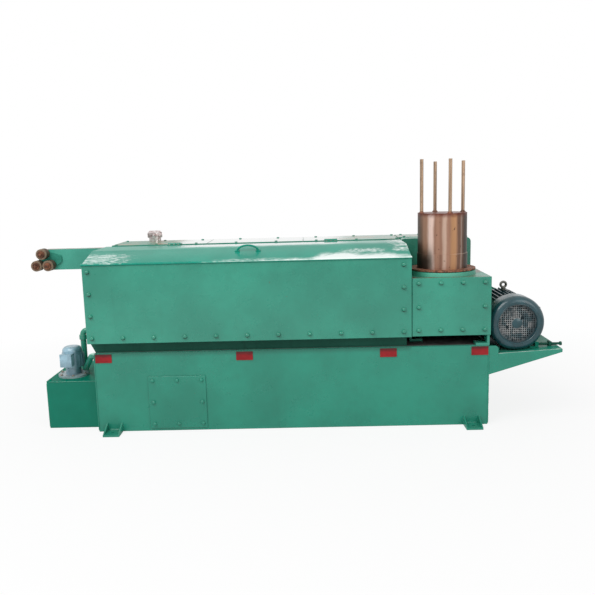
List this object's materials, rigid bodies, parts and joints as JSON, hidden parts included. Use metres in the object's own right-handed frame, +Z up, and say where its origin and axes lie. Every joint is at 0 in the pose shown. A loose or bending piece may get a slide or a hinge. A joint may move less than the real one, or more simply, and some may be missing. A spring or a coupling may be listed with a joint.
{
  "type": "wire drawing machine",
  "caption": "Wet wire drawing machine: welded base, lidded chamber with capstans, gearbox, vertical drum with rods, inlet guide rollers, coolant tank and pump, belt drive motor.",
  "frame": {"origin": "floor level, in the middle of the four anchor bolts", "axes": "+X along the way of the wire from inlet rollers to drum, +Y from the operator's front to the gearbox at the back, +Z up"},
  "size_m": [3.9445, 1.29, 1.886],
  "materials": {
    "green_paint": "gloss machine enamel, worn and dusty",
    "red_paint": "gloss red enamel",
    "drum_iron": "turned iron with a brown rust film",
    "rod_steel": "bright drawn steel",
    "capstan_steel": "ground hard-faced steel",
    "rusty_iron": "turned and rusty",
    "chrome": "polished",
    "motor_paint": "dark blue-green motor paint",
    "pump_paint": "light grey-blue enamel"
  },
  "bodies": {
    "machine": {"base_front_wall": "green_paint", "base_rear_wall": "green_paint", "base_left_wall": "green_paint", "base_right_wall": "green_paint", "base_top_plate": "green_paint", "inspection_cover": "green_paint", "anchor_feet": "green_paint", "corner_lug": "green_paint", "chamber_plinth": "green_paint", "chamber_floor": "green_paint", "chamber_front_plate": "green_paint", "chamber_left_wall": "green_paint", "chamber_right_wall": "green_paint", "gearbox_main": "green_paint", "gearbox_input_end": "green_paint", "gearbox_covers": "green_paint", "bearing_caps": "green_paint", "belt_guard": "green_paint", "drum_housing": "green_paint", "drum_housing_cover": "green_paint", "drum_housing_feet": "green_paint", "drum_bearing_ring": "green_paint", "guide_arm": "green_paint", "tank_shell": "green_paint", "tank_top": "green_paint", "riser_pipe": "green_paint", "return_pipe": "green_paint", "bracket_deck": "green_paint", "bracket_gussets": "green_paint", "red_pads": "red_paint", "hinge_fixed_leaves": "rod_steel", "die_holders": "rod_steel", "tension_screws": "rod_steel", "capstans": "capstan_steel", "roller_carrier": "rusty_iron", "breather_cap": "chrome", "motor_frame": "motor_paint", "motor_fan_cover": "motor_paint", "motor_grille": "motor_paint", "motor_end_shield": "motor_paint", "motor_terminal_box": "motor_paint", "motor_eyebolt": "motor_paint", "pump_flange": "pump_paint", "pump_motor": "pump_paint"},
    "lid": {"lid_sheet": "green_paint", "lid_handle": "rod_steel", "hinge_moving_leaves": "rod_steel"},
    "drum": {"drum_flange": "drum_iron", "drum_barrel": "drum_iron", "drum_rods": "rod_steel"},
    "roller_upper": {"guide_roller_upper": "rusty_iron"},
    "roller_lower_left": {"guide_roller_lower_left": "rusty_iron"},
    "roller_lower_right": {"guide_roller_lower_right": "rusty_iron"}
  },
  "joints": [
    {"name": "lid_hinge", "type": "hinge", "parent": "machine", "child": "lid", "pos_m": [-0.2905, 0.091, 1.299], "axis": [-1, 0, 0], "range_deg": [0, 100]},
    {"name": "drum_spin", "type": "hinge", "parent": "machine", "child": "drum", "pos_m": [1.116, -0.265, 1.106], "axis": [0, 0, 1], "continuous": true},
    {"name": "roller_upper_spin", "type": "hinge", "parent": "machine", "child": "roller_upper", "pos_m": [-1.911, 0.007, 1.252], "axis": [0, 1, 0], "continuous": true},
    {"name": "roller_lower_left_spin", "type": "hinge", "parent": "machine", "child": "roller_lower_left", "pos_m": [-1.9555, 0.007, 1.162], "axis": [0, 1, 0], "continuous": true},
    {"name": "roller_lower_right_spin", "type": "hinge", "parent": "machine", "child": "roller_lower_right", "pos_m": [-1.8665, 0.007, 1.162], "axis": [0, 1, 0], "continuous": true}
  ]
}
